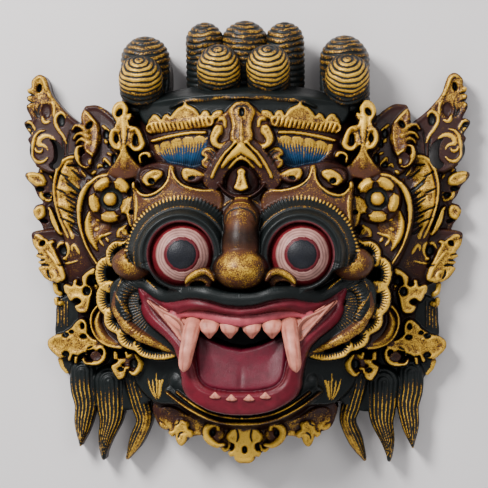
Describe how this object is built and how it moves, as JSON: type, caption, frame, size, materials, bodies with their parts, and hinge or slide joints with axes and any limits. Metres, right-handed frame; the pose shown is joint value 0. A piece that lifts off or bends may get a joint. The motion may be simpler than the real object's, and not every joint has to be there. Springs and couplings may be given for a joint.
{
  "type": "barong mask",
  "caption": "Carved and painted wooden barong mask with bulging eyes, fangs, leaf scrolls and hair buns, hollow at the back, lying face up.",
  "frame": {"origin": "middle of the mask's outline, on the flat plane of its back", "axes": "+Z out of the face, +Y towards the crown of hair buns, +X towards the viewer's right"},
  "size_m": [0.3234, 0.318, 0.104],
  "materials": {
    "painted_wood": "dark maroon and black paint with rubbed gilding over carved wood, satin"
  },
  "bodies": {
    "root": {"mask": "painted_wood"}
  },
  "joints": []
}
